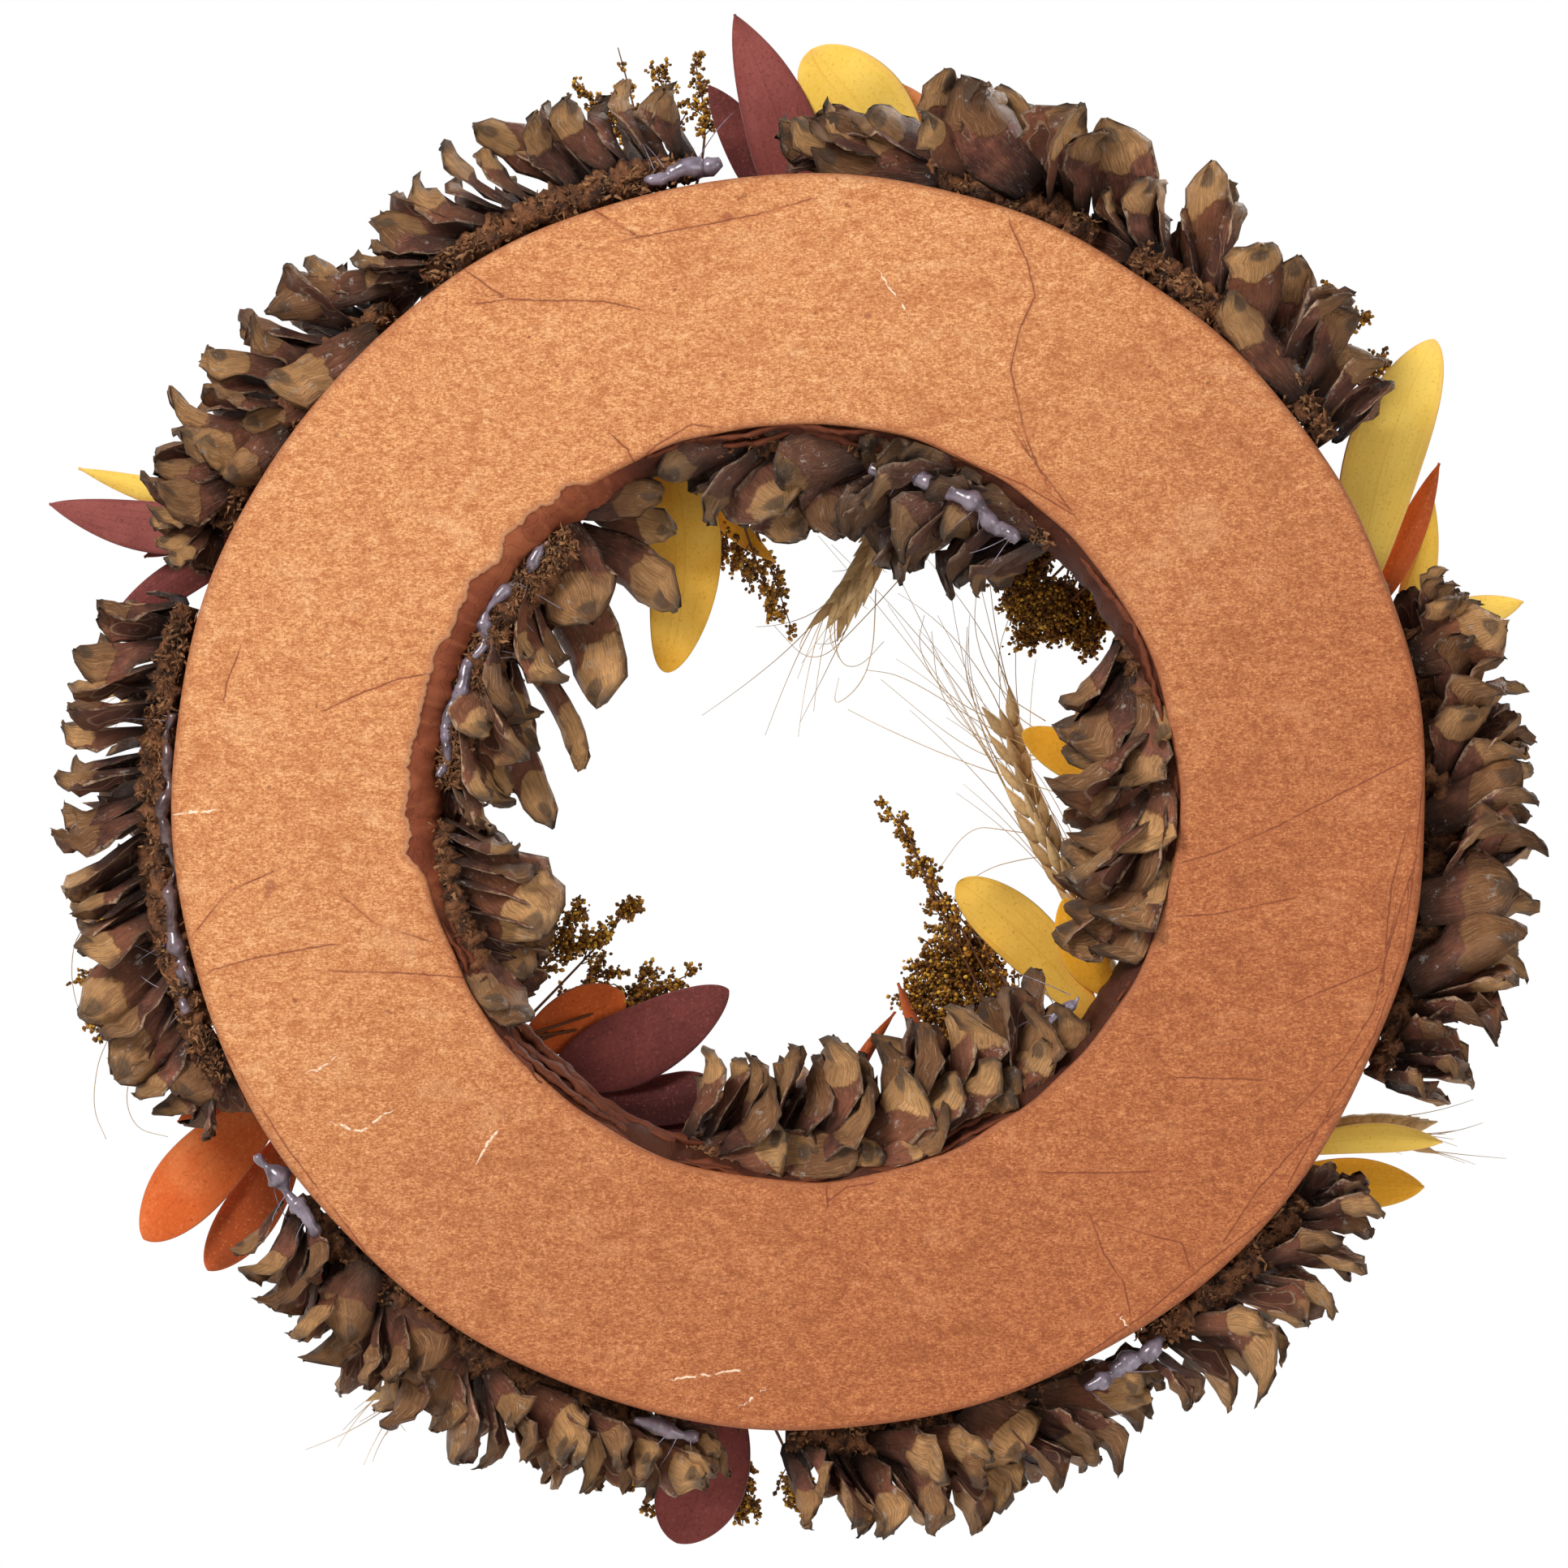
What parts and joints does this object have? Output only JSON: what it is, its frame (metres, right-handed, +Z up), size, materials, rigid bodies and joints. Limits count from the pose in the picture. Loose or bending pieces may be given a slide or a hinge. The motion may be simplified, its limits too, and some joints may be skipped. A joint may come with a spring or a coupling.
{
  "type": "harvest door wreath",
  "caption": "Harvest door wreath: a padded ring with a kraft paper back, covered with halved pine cones, dyed leaves, dried florets and barley ears",
  "frame": {"origin": "hook seat: the top of the ring's hole on the back plane, where a door hook carries the wreath", "axes": "+Z up on the door, back face towards -Y against the door, decorated front towards +Y, +X to the right for someone looking at the back"},
  "size_m": [0.3408, 0.0774, 0.3537],
  "materials": {
    "core": "pressed straw core, hidden",
    "wrap": "dark brown wrinkled covering, matt",
    "paper": "creased kraft paper, satin at the folded rims",
    "cone": "dry woody pine-cone scales with tan ends, matt",
    "burgundy_leaf": "dyed dried leaf, velvety matt",
    "yellow_leaf": "dyed dried leaf, velvety matt",
    "gold_leaf": "dyed dried leaf, velvety matt",
    "orange_leaf": "dyed dried leaf, velvety matt",
    "floret": "dried florets, matt",
    "straw": "dried barley, slight sheen",
    "glue": "milky hot glue, glossy"
  },
  "bodies": {
    "root": {"back_sheet": "paper", "barley_ear_1": "straw", "barley_ear_2": "straw", "barley_ear_3": "straw", "barley_ear_4": "straw", "barley_ear_5": "straw", "burgundy_leaf_bottom": "burgundy_leaf", "burgundy_leaf_inner_left": "burgundy_leaf", "burgundy_leaf_left": "burgundy_leaf", "burgundy_leaf_top": "burgundy_leaf", "core_ring": "core", "floret_bunch_1": "floret", "floret_bunch_2": "floret", "floret_bunch_3": "floret", "floret_bunch_4": "floret", "floret_bunch_5": "floret", "floret_bunch_6": "floret", "floret_bunch_7": "floret", "floret_bunch_8": "floret", "front_cone_1": "cone", "front_cone_2": "cone", "front_cone_3": "cone", "front_cone_4": "cone", "front_cone_5": "cone", "front_cone_6": "cone", "front_cone_7": "cone", "glue_bead_1": "glue", "glue_bead_2": "glue", "glue_bead_3": "glue", "glue_bead_4": "glue", "glue_bead_5": "glue", "glue_bead_6": "glue", "glue_bead_7": "glue", "gold_leaf_inner_right": "gold_leaf", "inner_cone_1": "cone", "inner_cone_2": "cone", "inner_cone_3": "cone", "inner_cone_4": "cone", "inner_cone_5": "cone", "orange_leaf_inner_left": "orange_leaf", "orange_leaf_left": "orange_leaf", "orange_leaf_low_left": "orange_leaf", "orange_leaf_top": "orange_leaf", "outer_cone_1": "cone", "outer_cone_2": "cone", "outer_cone_3": "cone", "outer_cone_4": "cone", "outer_cone_5": "cone", "outer_cone_6": "cone", "outer_cone_7": "cone", "outer_cone_8": "cone", "outer_cone_9": "cone", "ring_wrap": "wrap", "yellow_leaf_far_right": "yellow_leaf", "yellow_leaf_inner_right": "yellow_leaf", "yellow_leaf_inner_top": "yellow_leaf", "yellow_leaf_left": "yellow_leaf", "yellow_leaf_low_right": "yellow_leaf", "yellow_leaf_right": "yellow_leaf", "yellow_leaf_top": "yellow_leaf"}
  },
  "joints": []
}
